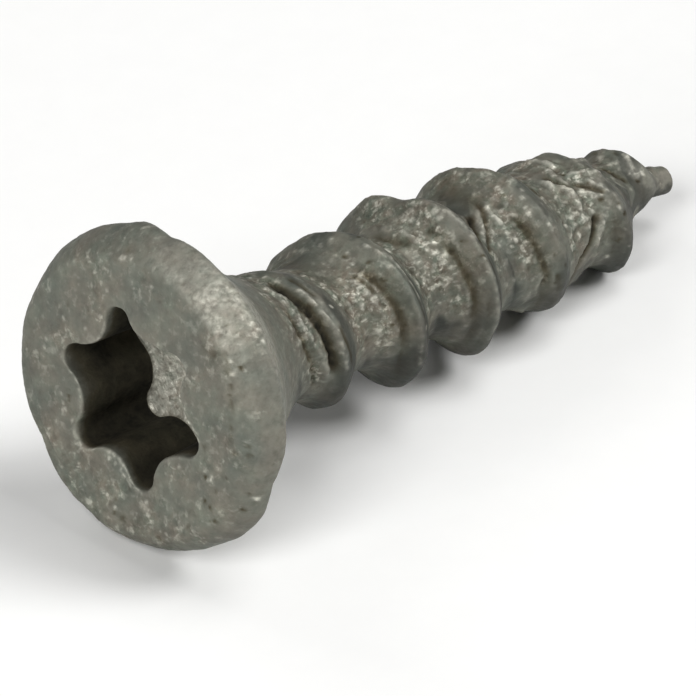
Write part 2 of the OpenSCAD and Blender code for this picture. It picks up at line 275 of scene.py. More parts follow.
# The same on the face: angle, distance from the middle, radius in mm, tone.
FACE_SPOTS = [
    (1, 1.97, .05, 0.7), (2, 2.82, .05, -0.4), (2, 3.19, .05, -0.8), (2, 3.07, .06, 1), (2, 2.61, .06, 0.4),
    (5, 2.86, .05, 0.4), (7, 1.90, .05, 0.7), (13, 3.49, .04, -0.5), (14, 1.90, .07, 1), (21, 3.25, .05, 0.35),
    (29, 2.88, .04, 0.7), (29, 3.01, .04, 0.6), (39, 2.45, .06, 1), (52, 2.24, .05, 0.7), (60, 2.36, .06, 0.9),
    (64, 2.37, .04, 0.5), (65, 2.14, .04, -0.5), (68, 2.12, .05, -0.6), (69, 2.37, .04, 0.5), (72, 2.10, .04, -0.5),
    (93, 2.88, .05, 0.6), (94, 2.64, .10, 0.35), (98, 2.89, .05, 0.5), (116, 2.65, .05, 0.9), (120, 3.44, .05, 0.6),
    (124, 2.77, .06, -0.3), (126, 2.03, .05, 0.4), (141, 3.58, .05, 0.35), (144, 2.91, .04, 0.4), (146, 2.90, .05, 0.5),
    (155, 3.42, .04, 0.4), (156, 2.73, .05, 0.4), (161, 3.65, .05, 0.4), (167, 3.58, .05, 0.7), (169, 3.62, .05, 0.9),
    (169, 3.76, .06, -0.4), (172, 3.64, .05, 0.8), (173, 3.08, .05, 0.5), (173, 2.98, .04, 0.3), (185, 3.19, .05, 0.5),
    (186, 3.80, .07, 0.5), (204, 3.83, .06, 0.6), (207, 3.81, .06, 0.5), (210, 3.81, .05, 0.9), (213, 3.78, .06, 0.6),
    (216, 3.85, .08, 0.9), (219, 3.74, .07, 0.8), (221, 3.76, .07, 0.7), (226, 3.64, .07, 0.6), (227, 3.32, .15, -0.45),
    (223, 3.13, .13, -0.30), (245, 3.41, .06, -0.35), (250, 3.35, .06, -0.4), (255, 3.33, .05, -0.3), (232, 3.53, .04, 0.5), (232, 3.66, .05, 0.9), (236, 3.80, .05, -1), (237, 3.85, .05, 0.8),
    (237, 3.60, .06, 1), (241, 3.48, .04, -0.45), (243, 3.43, .04, -0.45), (245, 3.39, .04, -0.45),
    (247, 3.36, .04, -0.45), (249, 3.32, .04, -0.4), (264, 3.69, .05, 0.4), (265, 1.93, .06, 1), (266, 3.70, .04, 0.4),
    (270, 2.10, .05, 0.9), (270, 3.43, .08, -0.4), (270, 3.74, .06, -0.5), (274, 2.19, .06, 0.9), (275, 3.49, .05, 0.5),
    (276, 2.48, .10, -0.3), (283, 3.33, .05, -0.5), (284, 3.31, .05, -0.5), (289, 2.99, .07, 1), (291, 2.92, .05, 0.6),
    (291, 2.80, .06, -0.8), (292, 3.26, .05, -0.5), (301, 3.15, .06, -0.6), (301, 3.37, .07, -0.7),
    (302, 2.08, .05, 0.35), (305, 3.65, .07, -0.6), (318, 3.40, .08, -0.3), (322, 3.22, .06, 0.45),
    (323, 3.00, .06, 0.45), (337, 3.53, .07, -0.5), (341, 2.63, .06, 0.9), (348, 3.00, .05, 0.4), (351, 3.03, .07, 0.4),
    (352, 2.27, .05, 0.5), (353, 2.38, .05, -0.5), (354, 2.15, .05, 0.9), (357, 3.24, .09, -0.5), (358, 2.07, .05, 0.8),
]

# The worn edge between face and rim: angle, distance from the middle.
SEAM = [(222, 3.56), (232, 3.56), (238, 3.51), (243, 3.44), (249, 3.38), (255, 3.33), (261, 3.31), (272, 3.26)]

# Broad places that are more or less sandy: angle, width in degrees, z, width in mm, change.
PATCHES = [
    (165, 26, 6.70, 0.42, -1.0), (168, 26, 11.85, 0.42, -1.0), (158, 24, 9.10, 0.30, -0.9), (152, 22, 9.64, 0.30, 0.75), (150, 20, 12.28, 0.28, 0.35), (175, 26, 14.50, 0.32, -0.7), (225, 60, 17.20, 0.75, -0.8),
    (225, 90, 18.80, 0.45, -0.4), (288, 30, 13.20, 0.50, 0.04), (272, 30, 15.90, 0.50, 0.07), (280, 30, 10.90, 0.55, 0.10), (165, 24, 6.30, 0.35, -0.7), (226, 40, 6.50, 0.65, 0.7), (215, 32, 9.75, 0.50, 0.16), (212, 30, 12.35, 0.50, 0.04), (245, 30, 12.05, 0.45, -0.44), (265, 26, 17.38, 0.36, -0.35), (284, 18, 10.05, 0.45, -0.08), (258, 18, 15.42, 0.35, -0.22), (262, 14, 6.80, 0.35, 0.25), (290, 24, 7.60, 0.50, -0.12), (290, 22, 10.35, 0.45, -0.08), (215, 36, 14.90, 0.60, 0.5),
]


def along(phi, z, r, line):
    """Distance in mm from surface points to a line of (angle, z) points, and how far along it they are, 0-1."""
    a = np.array([p[0] for p in line], float)
    b = np.array([p[1] for p in line], float)
    mid = 0.5 * (a[0] + a[-1])
    ph = mid + turn_gap(phi, mid)
    k = math.pi / 180.0 * r
    best, where = np.full_like(z, 1e9), np.zeros_like(z)
    steps = len(a) - 1
    for i in range(steps):
        ux, uy = (a[i + 1] - a[i]) * k, b[i + 1] - b[i]
        px, py = (ph - a[i]) * k, z - b[i]
        t = np.clip((px * ux + py * uy) / np.maximum(ux * ux + uy * uy, 1e-9), 0, 1)
        d = np.hypot(px - t * ux, py - t * uy)
        hit = d < best
        best = np.where(hit, d, best)
        where = np.where(hit, (i + t) / steps, where)
    return best, where


# ---------------------------------------------------------------- recess outline
RIDGE_R, RC = 0.94, 2.575
LOBE_R, LC = 0.403369, 1.84663


def star(a):
    """Radius of the six-lobe outline at angle a (degrees) from a lobe."""
    a = np.abs((a + 30.0) % 60.0 - 30.0)
    r = np.radians(a)
    lobe = LC * np.cos(r) + np.sqrt(np.maximum(LOBE_R ** 2 - (LC * np.sin(r)) ** 2, 0))
    q = np.radians(30.0 - a)
    ridge = RC * np.cos(q) - np.sqrt(np.maximum(RIDGE_R ** 2 - (RC * np.sin(q)) ** 2, 0))
    # the arcs meet in a common tangent on the line between their centres
    share = LOBE_R / (LOBE_R + RIDGE_R)
    mx = LC + (RC * math.cos(math.radians(30)) - LC) * share
    my = RC * math.sin(math.radians(30)) * share
    meet = math.degrees(math.atan2(my, mx))
    return np.where(a < meet, lobe, ridge)


# Each lobe and ridge of the worn mouth stands a little off its place: angle, shift in degrees, change of radius in mm.
LOBES = [(40.4, -1.5, .05), (100.4, -2.0, .02), (160.4, -0.5, .06), (220.4, 4.0, -.06), (280.4, -0.5, .08), (340.4, 2.0, .10)]
RIDGES = [(70.4, -2.0, .02), (130.4, 1.0, -.02), (190.4, -4.0, .07), (250.4, -2.0, .10), (310.4, 3.0, .05), (10.4, 1.0, .04)]


def ring_values(phi, rows, column):
    rows = sorted(rows)
    a = np.array([r[0] for r in rows])
    v = np.array([r[column] for r in rows])
    a = np.concatenate([a - 360, a, a + 360])
    v = np.concatenate([v, v, v])
    f = phi % 360.0
    i = np.clip(np.searchsorted(a, f) - 1, 0, len(a) - 2)
    t = (f - a[i]) / (a[i + 1] - a[i])
    t = t * t * (3 - 2 * t)
    return v[i] * (1 - t) + v[i + 1] * t


def recess(phi, z):
    """Radius of the recess wall at depth z."""
    rows = LOBES + RIDGES
    proud_lighter = np.clip(1 - z / 1.6, 0.35, 1.0)
    a = phi - 40.4 - ring_values(phi, rows, 1) * proud_lighter
    return star(a) + ring_values(phi, rows, 2) * proud_lighter - 0.03 * z


# ---------------------------------------------------------------- the grid of the head
NH, NS = 352, 176
even = np.arange(NH) * 360.0 / NH
phi_h = even - math.degrees(0.33) * np.sin(np.radians(even - 240.0))      # columns stand closer on the marked side
phi_s = phi_h[::2]


def ring(r, z, phi):
    a = np.radians(phi)
    r = np.broadcast_to(r, phi.shape)
    z = np.broadcast_to(z, phi.shape)
    return np.stack([r * np.cos(a), r * np.sin(a), z], -1)


def floor_z(r):
    return RECESS + 0.30 * smooth(1.55 - r, 0.0, 1.6)


head_rows, head_kind = [], []            # kind: 0 floor, 1 wall, 2 mouth, 3 face, 4 rim, 5 flare
fillet = 0.08
foot = recess(phi_h, RECESS - fillet)
for f in np.linspace(0.10, 1.0, 10) ** 0.9:
    r = (foot - fillet) * f
    head_rows.append(ring(r, floor_z(r), phi_h)); head_kind.append(0)
for a in np.radians([40, 70]):
    r = foot - fillet * (1 - math.sin(a))
    head_rows.append(ring(r, RECESS - fillet * (1 - math.cos(a)), phi_h)); head_kind.append(0)
ridge_share = np.clip((1.0 - np.cos(np.radians((phi_h - 40.4) * 6))) / 2, 0, 1)
soft = 0.034 + 0.028 * ridge_share + 0.02 * noise(ring(2.0, 0.0, phi_h), 0.5, 5)
for a, w, more in ((44, 13, 0.11), (340, 8, 0.06), (292, 9, 0.08), (92, 8, 0.05), (150, 8, 0.10), (168, 6, 0.04)):
    soft = soft + more * bump_at(turn_gap(phi_h, a), 0, w)
for z in np.linspace(RECESS - fillet, 0.30, 16):
    head_rows.append(ring(recess(phi_h, z), z, phi_h)); head_kind.append(1)
mouth = recess(phi_h, 0.25)
# the face ends further in on the side where the rim is worn broad: angle, shift in mm
face_shift = ring_values(phi_h, [(0, 0.0), (45, 0.03), (90, 0.05), (135, 0.03), (180, -0.03), (215, -0.16), (246, -0.30),
                                 (272, -0.24), (300, -0.10), (330, -0.02)], 1)
for a in np.radians([0, 22, 45, 67, 90]):
    head_rows.append(ring(mouth + soft * (1 - math.cos(a)), soft * (1 - math.sin(a)), phi_h)); head_kind.append(2)
for f in np.linspace(0, 1, 25)[1:-1]:
    r = (mouth + soft) * (1 - f) + (FACE_R - 0.22 + face_shift) * f
    head_rows.append(ring(r, 0.0, phi_h)); head_kind.append(3)
# rounded corner of the face, rim and flare: one soft profile
prof = [(FACE_R - 0.6 + i * 0.02, 0.0) for i in range(30)]
a0 = math.atan2(-RIM_Z, FACE_R - (HEAD_R - RIM_R))
for a in np.linspace(a0, 0.0, 60):
    prof.append((HEAD_R - RIM_R + RIM_R * math.cos(a), RIM_Z + RIM_R * math.sin(a)))
for z in np.arange(RIM_Z + 0.02, 3.70, 0.02):
    prof.append((float(flare(z)), z))
prof = np.array(prof)
arc = np.concatenate([[0], np.cumsum(np.hypot(*np.diff(prof, axis=0).T))])
fine = np.arange(0, arc[-1], 0.01)
pr, pz = np.interp(fine, arc, prof[:, 0]), np.interp(fine, arc, prof[:, 1])
k = np.exp(-(np.arange(-24, 25) / 9.0) ** 2); k /= k.sum()
pr[24:-24] = np.convolve(pr, k, "valid")
pz[24:-24] = np.convolve(pz, k, "valid")
i0 = int(np.argmin(np.abs(pr[:60] - (FACE_R - 0.22))))
i1 = int(np.argmin(np.abs(pz - 3.42)))
for i in np.linspace(i0, i1, 62).astype(int):
    share = np.clip((HEAD_R - pr[i]) / (HEAD_R - FACE_R + 0.22), 0, 1) if pz[i] < RIM_Z else 0.0
    head_rows.append(ring(pr[i] + face_shift * share ** 1.3, pz[i], phi_h))
    head_kind.append(4 if pz[i] < RIM_Z else 5)
head = np.array(head_rows)
kind_h = np.repeat(np.array(head_kind)[:, None], NH, 1)

# ---------------------------------------------------------------- the grid of the threaded body
zs = np.concatenate([np.linspace(3.49, 17.6, 288), np.linspace(17.6, LENGTH - 0.06, 31)[1:]])
Z, PHI = np.meshgrid(zs, phi_s, indexing="ij")
body_r, turn, gap = thread(Z, PHI)
bend = np.clip((Z - SQUEEZE) / 1.2, 0, 1)
body = np.stack([body_r * np.cos(np.radians(PHI)), body_r * np.sin(np.radians(PHI)), Z], -1)
nub_rows = []
for a in np.radians([30, 60, 80]):
    nub_rows.append(ring(NUB_R + 0.024 - 0.06 * (1 - math.cos(a)), LENGTH - 0.06 + 0.06 * math.sin(a), phi_s))
nub_rows.append(ring(NUB_R * 0.3, LENGTH, phi_s))
nub = np.array(nub_rows)


# ---------------------------------------------------------------- marks and unevenness, as a height over the plain shape
def stamp(z, phi, r):
    """Height, dirt with painted shade, and painted highlights of the marks."""
    high, dirt_and_shade, highlight_paint = np.zeros_like(z), np.zeros_like(z), np.zeros_like(z)
    for line, w, h, s in MARKS:
        zl = [p[1] for p in line]
        near = (z > min(zl) - 0.6) & (z < max(zl) + 0.6)
        if not near.any():
            continue
        d, t = along(phi[near], z[near], r[near], line)
        tip = 0.16 if len(line) > 3 else 0.0
        ends = smooth(t, -0.001, tip) * smooth(1 - t, -0.001, tip) if tip else 1.0
        p = np.stack([r[near] * np.cos(np.radians(phi[near])), r[near] * np.sin(np.radians(phi[near])), z[near]], -1)
        vary = 1 + 0.30 * noise(p, 0.33, 71) + 0.28 * noise(p, 0.15, 76)
        wide = 1 + 0.22 * noise(p, 0.5, 72) + 0.30 * noise(p, 0.18, 77)
        g = np.exp(-(d / (w * wide)) ** 2) * ends * vary
        high[near] += h * g
        bead = smooth(noise(p, 0.17, 75), -0.30, 0.35)
        if s > 0:
            far = 1 - 0.6 * smooth(turn_gap(phi[near], 262), 0, 25) * smooth(-turn_gap(phi[near], 360), 0, 20)
            dirt = s * far * np.exp(-(d / (w * wide * 1.3)) ** 2) * ends * np.clip(vary, 0.2, 1.2)
            dirt_and_shade[near] = np.maximum(dirt_and_shade[near], dirt)
        else:
            highlight_paint[near] = np.maximum(highlight_paint[near], -s * g * (0.25 + 1.2 * bead))
            high[near] += 0.6 * h * g * (bead - 0.5)
    return high, dirt_and_shade, highlight_paint


def spots(table, phi, r, w, across):
    """Height, dirt and painted glints of single grains; w is z or the distance from the middle."""
    high, dirt_and_shade, highlight_paint = np.zeros_like(w), np.zeros_like(w), np.zeros_like(w)
    for a, c, size, s in table:
        near = np.abs(w - c) < 4 * size
        q = np.stack([turn_gap(phi[near], a) * math.pi / 180 * r[near], w[near] - c, np.full(near.sum(), a * 7.3 + c)], -1)
        u = q[:, 0] + 0.9 * size * noise(q, 0.11, 73)
        v_ = q[:, 1] + 0.9 * size * noise(q, 0.11, 74)
        d2 = u * u + v_ * v_
        if across is not None:
            d2 = d2 + across[near] ** 2
        g = np.exp(-(d2 / size ** 2) ** 1.3)
        if s > 0:
            highlight_paint[near] = np.maximum(highlight_paint[near], 1.05 * s * g)
            high[near] += 0.014 * s * g
        else:
            dirt_and_shade[near] = np.maximum(dirt_and_shade[near], -0.85 * s * g)
            high[near] += 0.030 * s * g
    return high, dirt_and_shade, highlight_paint


def everywhere(p, sandy):
    """Lumps and pits of the thick dull coat over rolled metal."""
    q = p * np.array([1.0, 1.0, 0.6])
    h = 0.016 * layers(p, 0.9, 11, 2) + (0.005 + 0.029 * sandy) * layers(q, 0.25, 21, 2, 0.65)
    h += 0.058 * sandy * (0.24 - np.abs(layers(q, 0.30, 22, 2, 0.6)))
    pits = np.clip(noise(p, 0.40, 31) - 0.5, 0, 1)
    return h - 0.08 * pits * (0.3 + 0.7 * sandy)


# body
hb, dirt_and_shade_b, highlight_paint_b = stamp(Z, PHI, body_r)
dots = spots(SPOTS, PHI, body_r, Z, None)
hb = hb + dots[0]
dirt_and_shade_b = np.maximum(dirt_and_shade_b, dots[1])
highlight_paint_b = np.maximum(highlight_paint_b, dots[2])
# the throat of the point is painted paler
highlight_paint_b = np.maximum(highlight_paint_b, 0.15 * smooth(Z, 17.9, 18.4) * bump_at(turn_gap(PHI, 235), 0, 60))
# rolling marks that run along the thread
strip = np.stack([turn * 10.5, gap * 3.2, np.zeros_like(gap)], -1)
on_flank = smooth(1.15 - np.abs(gap), 0, 0.3) * smooth(turn, -0.2, 0.1) * smooth(LAST - turn, 0, 0.2)
grooves = layers(strip, 1.0, 41, 3, 0.6) * on_flank
sandy = smooth(layers(body, 0.8, 51, 2), -0.35, 0.35)
band = bump_at(gap, -0.85, 0.45) + bump_at(gap, 1.28 - 0.30, 0.42)
sandy_b = np.clip(band, 0, 1) * (0.55 + 0.45 * sandy)
top_side = np.clip(1 - np.abs(turn_gap(PHI, 185)) / 75.0, 0, 1)          # the upper side is sandy over the crests too
sandy_b = np.clip(sandy_b + 0.75 * top_side * sandy, 0, 1)
ragged = 18.0 * layers(body, 0.9, 61, 2)
smooth_side = smooth(turn_gap(PHI, 260) + ragged, 0, 38) * smooth(-turn_gap(PHI, 380), 0, 60)
sandy_b *= 1 - 0.84 * smooth_side
for a, wa, z, wz, more in PATCHES:
    sandy_b = np.clip(sandy_b + more * bump_at(turn_gap(PHI, a), 0, wa) * bump_at(Z, z, wz), 0, 1)
# the flank that faces the point is rolled smooth under the crest
lee = smooth(gap, 0.02, 0.12) * (1 - smooth(gap, 0.55, 0.85)) * smooth(3.3 - turn, 0, 0.4) * (1 - 0.6 * bump_at(turn_gap(PHI, 185), 0, 32))
sandy_b = np.clip(sandy_b + 0.05 * (1 - smooth(turn_gap(PHI, 245), 0, 30)), 0, 1) * (1 - 0.85 * lee) + 0.10 * smooth(4.2 - Z, 0, 0.5)
hb += (0.024 + 0.034 * sandy_b) * grooves
hb *= 1 - 0.5 * lee
hb += everywhere(body, sandy_b) * (1 - 0.6 * lee)

# on the upper side the metal stands fuller behind the crest
hb += 0.085 * bump_at(turn_gap(PHI, 193), 0, 22) * smooth(gap, 0.04, 0.24) * (1 - smooth(gap, 0.55, 1.0)) * smooth(turn, 0.6, 0.9) * smooth(3.3 - turn, 0, 0.2)

# places where the photograph's outline shows the metal lower or higher than an even helix:
# angle, width, z, width, height in mm
UNEVEN = [
    (287, 12, 3.50, 0.50, 0.06), (294, 12, 4.15, 0.40, 0.04), (150, 16, 4.60, 0.40, 0.03),
    (307, 10, 6.05, 0.40, 0.035), (131, 9, 7.20, 0.35, -0.04), (114, 9, 6.92, 0.35, 0.05),
    (2, 10, 8.72, 0.35, -0.03), (291, 8, 8.55, 0.35, 0.03),
    (163, 10, 10.12, 0.40, -0.14), (140, 12, 9.92, 0.35, 0.055),
    (0, 11, 11.25, 0.40, -0.09), (322, 14, 11.20, 0.35, 0.035), (294, 9, 11.14, 0.35, -0.065),
    (112, 8, 12.24, 0.35, -0.065), (334, 8, 13.89, 0.35, -0.05), (306, 8, 13.95, 0.40, 0.06),
    (117, 9, 14.83, 0.40, 0.08), (143, 10, 15.32, 0.35, -0.13), (306, 9, 14.96, 0.35, 0.055),
    (176, 6, 15.72, 0.30, -0.055), (186, 6, 15.99, 0.30, 0.085), (330, 14, 16.53, 0.35, 0.065),
    (141, 12, 17.83, 0.35, -0.05), (170, 16, 18.05, 0.25, 0.10), (190, 30, 18.27, 0.22, 0.20),
    (163, 42, 18.78, 0.28, 0.36), (200, 30, 19.10, 0.18, 0.10), (306, 40, 19.05, 0.20, 0.05),
    (225, 42, 18.60, 0.26, 0.26), (250, 30, 18.30, 0.22, 0.08),
]
for a, wa, z, wz, d in UNEVEN:
    hb += d * bump_at(turn_gap(PHI, a), 0, wa) * bump_at(Z, z, wz)

hb += 0.06 * smooth(Z, 18.95, 19.20)

n_b = np.stack([np.cos(np.radians(PHI)), np.sin(np.radians(PHI)), np.zeros_like(Z)], -1)
fade = smooth(Z, 3.49, 4.1)
body = body + n_b * (hb * (0.3 + 0.7 * fade) * (1 - 0.6 * smooth(Z, 18.3, 18.7)))[..., None]
body[..., 0] += -0.03 * bend
body[..., 1] += -0.12 * bend
nub[..., 0] += -0.03
nub[..., 1] += -0.12

# ---------------------------------------------------------------- one closed mesh
nrow_h, nrow_b = head.shape[0], body.shape[0]
verts = [head.reshape(-1, 3), body.reshape(-1, 3), nub.reshape(-1, 3)]
c_floor = np.array([[0.0, 0.0, floor_z(np.array(0.0)) + 0.0]])
c_tip = np.array([[-0.03, -0.12, LENGTH]])
V = np.concatenate(verts + [c_floor, c_tip])
off_b = nrow_h * NH
off_n = off_b + nrow_b * NS
i_floor = len(V) - 2
i_tip = len(V) - 1


def strips(off, rows, cols):
    i, j = np.meshgrid(np.arange(rows - 1), np.arange(cols), indexing="ij")
    a = off + i * cols + j
    b = off + i * cols + (j + 1) % cols
    return np.stack([a, b, b + cols, a + cols], -1).reshape(-1, 4)


quads = np.concatenate([strips(0, nrow_h, NH), strips(off_b, nrow_b + len(nub_rows), NS)])
j = np.arange(NH)
fan_floor = np.stack([np.full(NH, i_floor), (j + 1) % NH, j], -1)
last_n = off_n + (len(nub_rows) - 1) * NS
j = np.arange(NS)
fan_tip = np.stack([last_n + j, last_n + (j + 1) % NS, np.full(NS, i_tip)], -1)
# two head columns to one body column
a = (nrow_h - 1) * NH + 2 * j
a1 = (nrow_h - 1) * NH + 2 * j + 1
a2 = (nrow_h - 1) * NH + (2 * j + 2) % NH
b = off_b + j
b1 = off_b + (j + 1) % NS
join = np.concatenate([np.stack([a, a1, b], -1), np.stack([a1, b1, b], -1), np.stack([a1, a2, b1], -1)])
tris = np.concatenate([fan_floor, fan_tip, join,
                       quads[:, [0, 1, 2]], quads[:, [0, 2, 3]]])


def normals(v):
    fn = np.cross(v[tris[:, 1]] - v[tris[:, 0]], v[tris[:, 2]] - v[tris[:, 0]])
    out = np.zeros_like(v)
    for c in range(3):
        np.add.at(out, tris[:, c], fn)
    return out / np.maximum(np.linalg.norm(out, axis=1), 1e-12)[:, None]


# winding: outward normals on the flare point away from the axis
N = normals(V)
probe = (nrow_h - 10) * NH
if N[probe, 0] < 0:
    tris = tris[:, ::-1].copy()
    quads = quads[:, ::-1].copy()
    N = -N

# ---------------------------------------------------------------- the head's own unevenness
nh = nrow_h * NH
P = V[:nh]
kind = kind_h.reshape(-1)
ph = np.degrees(np.arctan2(P[:, 1], P[:, 0])) % 360
rr = np.hypot(P[:, 0], P[:, 1])
sandy_h = np.where(kind == 0, 1.0, np.where(kind == 1, 0.14, 0.30 * smooth(layers(P, 0.9, 52, 2), -0.10, 0.42)))
lower = np.clip(1 - np.abs(turn_gap(ph, 5)) / 80.0, 0, 1) * smooth(rr, 2.0, 2.7)
sandy_h = np.where(kind >= 2, np.clip(sandy_h + 0.45 * lower * smooth(layers(P, 0.7, 53, 2), -0.3, 0.3), 0, 1), sandy_h)
# the corner of the rim is rough where it faces the light and painted lighter there as a highlight, the flare behind it
# is smooth
rim_rough_and_highlight = np.maximum(bump_at(turn_gap(ph, 212), 0, 20), 0.55 * bump_at(turn_gap(ph, 190), 0, 14)) * smooth(rr, 3.45, 3.80) * smooth(1.9 - P[:, 2], 0.0, 0.9)
sandy_h = np.where(kind >= 3, np.clip(sandy_h + 0.35 * rim_rough_and_highlight, 0, 1), sandy_h)
sandy_h = np.where((kind >= 4) & (P[:, 2] > 0.4), sandy_h * (1 - 0.85 * smooth(turn_gap(ph, 240), 0, 20) * smooth(-turn_gap(ph, 345), 0, 20)), sandy_h)
sandy_h = sandy_h * (1 - 0.75 * smooth(P[:, 2], 1.1, 2.2) * (kind == 5))
sandy_h = np.where(kind >= 2, 0.15 + 0.85 * sandy_h, sandy_h) * 1.0
sandy_h = np.where((kind == 5) & (P[:, 2] > 1.0), np.clip(sandy_h, 0.15, 0.15 + 0.6 * smooth(2.0 - P[:, 2], 0, 1.0)), sandy_h)
h = everywhere(P, sandy_h)
# slight hollows and swellings of the face between recess and rim
flat = (kind == 3) | (kind == 2) | ((kind == 4) & (P[:, 2] < 0.25))
h *= np.where(kind == 0, 0.25, np.where(kind == 1, 0.7, np.where(flat, 0.65, 0.75)))
h *= 1 - 0.6 * (kind == 5) * smooth(P[:, 2], 1.0, 1.6)
h += flat * 0.022 * noise(P, 1.3, 63)
dots = spots(SPOTS, ph, rr, P[:, 2], np.where(kind >= 4, 0.0, 9.0))
dots_f = spots(FACE_SPOTS, ph, rr, rr, np.where((kind >= 2) & (P[:, 2] < 0.35), 0.0, 9.0))
h += dots[0] + dots_f[0]
highlight_paint_h = np.maximum(dots[2], 0.65 * dots_f[2])
# painted light: the flare behind the rim and a broad band of rim and flare further round are painted paler, as if lit
highlight_paint_h = np.maximum(highlight_paint_h, (kind == 5) * 0.36 * bump_at(turn_gap(ph, 223), 0, 26) * smooth(2.9 - P[:, 2], 0, 1.6))
highlight_paint_h = np.maximum(highlight_paint_h, (kind >= 4) * (0.07 + 0.07 * smooth(P[:, 2], 0.6, 1.2)) * bump_at(turn_gap(ph, 250), 0, 42) * smooth(P[:, 2], 0.1, 0.3) * smooth(3.4 - P[:, 2], 0, 1.2))
highlight_paint_h = np.maximum(highlight_paint_h, rim_rough_and_highlight * (0.25 + 0.20 * smooth(layers(P, 0.50, 54, 3), -0.20, 0.40)))
# painted highlights in the recess: a bright streak at the foot of the wall, and the whole floor painted lighter, as lit
highlight_paint_h = np.maximum(highlight_paint_h, (kind == 0) * 0.6 * smooth(rr, 1.15, 1.45) * bump_at(turn_gap(ph, 52), 0, 38))
highlight_paint_h = np.maximum(highlight_paint_h, (kind == 0) * (0.32 + 0.4 * smooth(layers(P, 0.16, 55, 2), 0.05, 0.5)))
# the lip of the recess is painted lighter in places: angle, width, how much
lip_lighter = np.zeros(nh)
for a, wa, s in ((88, 6, 0.30), (76, 8, 0.45), (64, 8, 0.50), (40, 9, 0.35), (26, 7, 0.40), (13, 7, 0.55), (3, 6, 0.50), (353, 6, 0.55),
                 (346, 4, 0.45), (132, 7, 0.35), (123, 6, 0.30), (145, 6, 0.35), (266, 6, 0.45), (272, 4, 0.50)):
    lip_lighter = np.maximum(lip_lighter, s * bump_at(turn_gap(ph, a), 0, wa))
edge = np.tile(mouth + soft, nrow_h)
lip_lighter *= smooth(layers(P, 0.18, 58, 2), -0.45, 0.35) * bump_at(rr, edge, 0.055) * (kind >= 2) * (P[:, 2] < 0.2)
highlight_paint_h = np.maximum(highlight_paint_h, lip_lighter)
dirt_and_shade_h = np.maximum(dots[1], dots_f[1])
d, t = along(ph, rr, rr, SEAM)
seam = np.exp(-(d / 0.05) ** 2) * smooth(t, -0.001, 0.15) * smooth(1 - t, -0.001, 0.15) * (kind >= 3) * (P[:, 2] < 0.5)
seam = seam * smooth(noise(P, 0.22, 78), -0.45, 0.25)
h -= 0.035 * seam
dirt_and_shade_h = np.maximum(dirt_and_shade_h, 0.38 * seam)
# painted shade on the recess walls: nearly black deep in, lighter brown or olive near the mouth where light reaches
# (angle, width, z, width, how much lighter)
recess_wall_shade = np.full(nh, 0.92)
for a, wa, z, wz, less in ((74, 16, 0.25, 0.75, 0.50), (12, 16, 0.25, 0.60, 0.50), (46, 8, 0.10, 0.30, 0.45), (92, 7, 0.15, 0.40, 0.45),
                           (150, 5, 0.05, 0.18, 0.25), (341, 7, 0.05, 0.22, 0.30), (292, 9, 0.10, 0.30, 0.45), (26, 10, 1.50, 0.70, 0.16),
                           (60, 9, 1.00, 0.60, 0.16), (148, 16, 0.10, 0.45, 0.52), (136, 8, 0.62, 0.28, -0.10), (357, 14, 1.60, 0.80, 0.22), (98, 30, 2.20, 0.80, 0.22), (190, 14, 0.20, 0.50, 0.45), (235, 40, 0.20, 0.60, 0.55)):
    recess_wall_shade -= less * bump_at(turn_gap(ph, a), 0, wa) * bump_at(P[:, 2], z, wz)
recess_wall_shade -= 0.26 * bump_at(P[:, 2], 0.0, 0.30) * (0.7 + 0.6 * noise(P, 0.8, 57))
recess_wall_shade += 0.12 * layers(P, 0.45, 56, 2)
recess_wall_shade += 0.10 * bump_at(turn_gap(ph, 150), 0, 22) * smooth(P[:, 2], 0.1, 0.3)
dirt_and_shade_h = np.where(kind == 1, recess_wall_shade, dirt_and_shade_h)
# the painted shade of the walls runs onto the rounded mouth, less where the lip is painted lighter
lip = smooth(P[:, 2], 0.0, 0.10)
dirt_and_shade_h = np.where(kind == 2, np.maximum(dirt_and_shade_h, lip * (recess_wall_shade - 0.25)) * (1 - 0.9 * np.clip(1.6 * highlight_paint_h, 0, 1)), dirt_and_shade_h)
# dents, burrs and uneven places of the rim: angle, width, z, width, height in mm
for a, wa, z, wz, d in [
    (50, 12, 0.35, 0.75, -0.10), (95, 40, 0.45, 0.90, -0.055), (96, 8, 0.45, 0.70, 0.05),
    (60, 8, 0.20, 0.60, 0.015), (128, 9, 0.70, 0.70, 0.045), (148, 10, 0.90, 0.70, 0.05),
    (167, 7, 0.92, 0.60, 0.125), (186, 5, 1.15, 0.40, 0.035), (178, 3.5, 0.95, 0.40, -0.04),
    (176, 3, 0.55, 0.40, 0.03), (267, 9, 1.02, 0.50, 0.055), (284, 5, 1.03, 0.40, -0.05),
    (299, 8, 0.98, 0.45, 0.095), (310, 5, 0.82, 0.40, 0.05), (322, 5, 0.85, 0.40, -0.035),
    (333, 6, 0.70, 0.40, -0.035), (349, 10, 0.40, 0.50, -0.05), (334, 3.5, 0.30, 0.25, -0.04),
    (20, 7, 0.20, 0.45, -0.02), (222, 26, 1.60, 0.75, 0.12), (261, 22, 1.75, 0.80, 0.08),
]:
    h += d * bump_at(turn_gap(ph, a), 0, wa) * bump_at(P[:, 2], z, wz) * ((rr > 3.3) | (kind == 5)) * smooth(3.42 - P[:, 2], 0, 0.6)
for a, wa, z, wz, d in UNEVEN[:2]:
    h += d * bump_at(turn_gap(ph, a), 0, wa) * bump_at(P[:, 2], z, wz) * (rr > 1.8) * (kind == 5)
V[:nh] += N[:nh] * h[:, None]
# nothing of the head may grow past the rim that carries it
rad = np.hypot(V[:, 0], V[:, 1])
over = np.maximum(1.0, rad / (HEAD_R + 0.085))
V[:, 0] /= over
V[:, 1] /= over
V[:, 2] = np.clip(V[:, 2], -0.035, LENGTH + 0.01)

N = normals(V)
